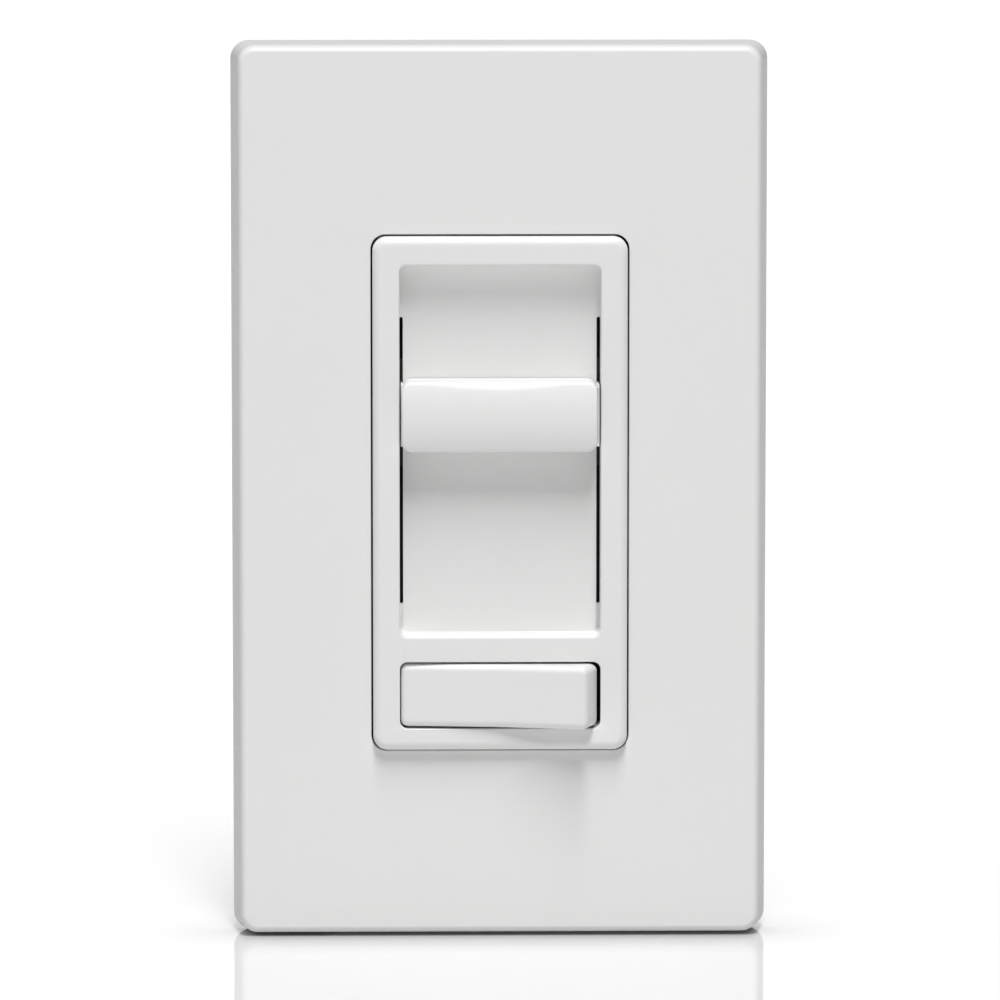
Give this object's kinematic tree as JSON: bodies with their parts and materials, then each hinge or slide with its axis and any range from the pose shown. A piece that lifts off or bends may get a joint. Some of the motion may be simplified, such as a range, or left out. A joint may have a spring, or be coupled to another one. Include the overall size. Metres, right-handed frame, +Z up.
{
  "type": "slide dimmer switch with wallplate",
  "caption": "White slide dimmer with a wide slide bar above a small on/off rocker, in a screwless wallplate, on a metal strap with its rear housing and wire leads.",
  "frame": {"origin": "middle of the bottom edge of the wallplate in X and at Z = 0, and halfway between the foremost point of the rocker and the rearmost lead in Y; the wall plane is at Y = -17.566 mm", "axes": "+Z up along the slide bar's travel, +Y back into the wall, +X to the right as seen from the front"},
  "size_m": [0.0698, 0.0592, 0.117],
  "materials": {
    "white_plastic": "smooth moulded, satin gloss",
    "inner_plastic": "moulded, matt",
    "strap_aluminium": "stamped, brushed",
    "steel": "zinc plated",
    "fibre": "fibre and phenolic sheet",
    "green_screw": "green plated",
    "copper": "bare copper",
    "brass": "stamped",
    "contact_silver": "silver alloy",
    "black_plastic": "fine grained",
    "insulating_film": "thin matt film",
    "board": "solder mask",
    "thermal_pad": "silicone pad",
    "ferrite": "pressed powder",
    "film_capacitor": "moulded box",
    "small_capacitor": "dipped",
    "resistor_body": "lacquered",
    "diac_glass": "glass bead",
    "wire_black": "insulation",
    "wire_red": "insulation",
    "wire_red_striped": "insulation with a white stripe",
    "wire_green": "insulation"
  },
  "bodies": {
    "device": {"wallplate_cover": "white_plastic", "face_frame": "white_plastic", "wallplate_subplate": "inner_plastic", "mounting_strap": "strap_aluminium", "triac_rivet": "strap_aluminium", "plate_screw_top": "steel", "plate_screw_bottom": "steel", "box_screw_top": "steel", "box_screw_bottom": "steel", "pot_cover": "steel", "housing_screw_top_left": "steel", "housing_screw_top_right": "steel", "housing_screw_bottom_left": "steel", "housing_screw_bottom_right": "steel", "screw_retainer_top": "fibre", "screw_retainer_bottom": "fibre", "pot_track": "fibre", "ground_screw": "green_screw", "ground_ring": "copper", "choke_winding": "copper", "conductor_black": "copper", "conductor_red": "copper", "conductor_red_striped": "copper", "conductor_green": "copper", "common_terminal": "brass", "fixed_terminal_left": "brass", "fixed_terminal_right": "brass", "fixed_contact_left": "contact_silver", "fixed_contact_right": "contact_silver", "rear_housing": "black_plastic", "switch_base": "black_plastic", "triac": "black_plastic", "insulating_sheet": "insulating_film", "circuit_board": "board", "triac_pad": "thermal_pad", "choke_core": "ferrite", "interference_capacitor": "film_capacitor", "timing_capacitor": "small_capacitor", "timing_resistor": "resistor_body", "gate_resistor": "resistor_body", "diac": "diac_glass", "lead_black": "wire_black", "lead_red": "wire_red", "lead_red_striped": "wire_red_striped", "lead_green": "wire_green"},
    "slider": {"slider_knob": "white_plastic", "slider_carriage": "black_plastic", "pot_lever": "black_plastic"},
    "rocker": {"rocker_paddle": "white_plastic", "rocker_spring": "steel"},
    "plunger": {"rocker_plunger": "inner_plastic"},
    "bridge": {"contact_bridge": "copper", "bridge_contact_left": "contact_silver", "bridge_contact_right": "contact_silver"}
  },
  "joints": [
    {"name": "slider_travel", "type": "slide", "parent": "device", "child": "slider", "axis": [0, 0, 1], "range_m": [-0.0208, 0.0083]},
    {"name": "rocker_tilt", "type": "hinge", "parent": "device", "child": "rocker", "pos_m": [0, -0.02203, 0.03207], "axis": [0, 0, 1], "range_deg": [0, 18]},
    {"name": "bridge_tilt", "type": "hinge", "parent": "device", "child": "bridge", "pos_m": [0, -0.00643, 0.03207], "axis": [0, 0, 1], "range_deg": [-12, 0]},
    {"name": "plunger_travel", "type": "slide", "parent": "rocker", "child": "plunger", "axis": [0.1564, 0.9877, 0], "range_m": [-0.00025, 0]}
  ],
  "couplings": [
    {"joint": "bridge_tilt", "follows": "rocker_tilt", "ratio": -0.6666}
  ]
}
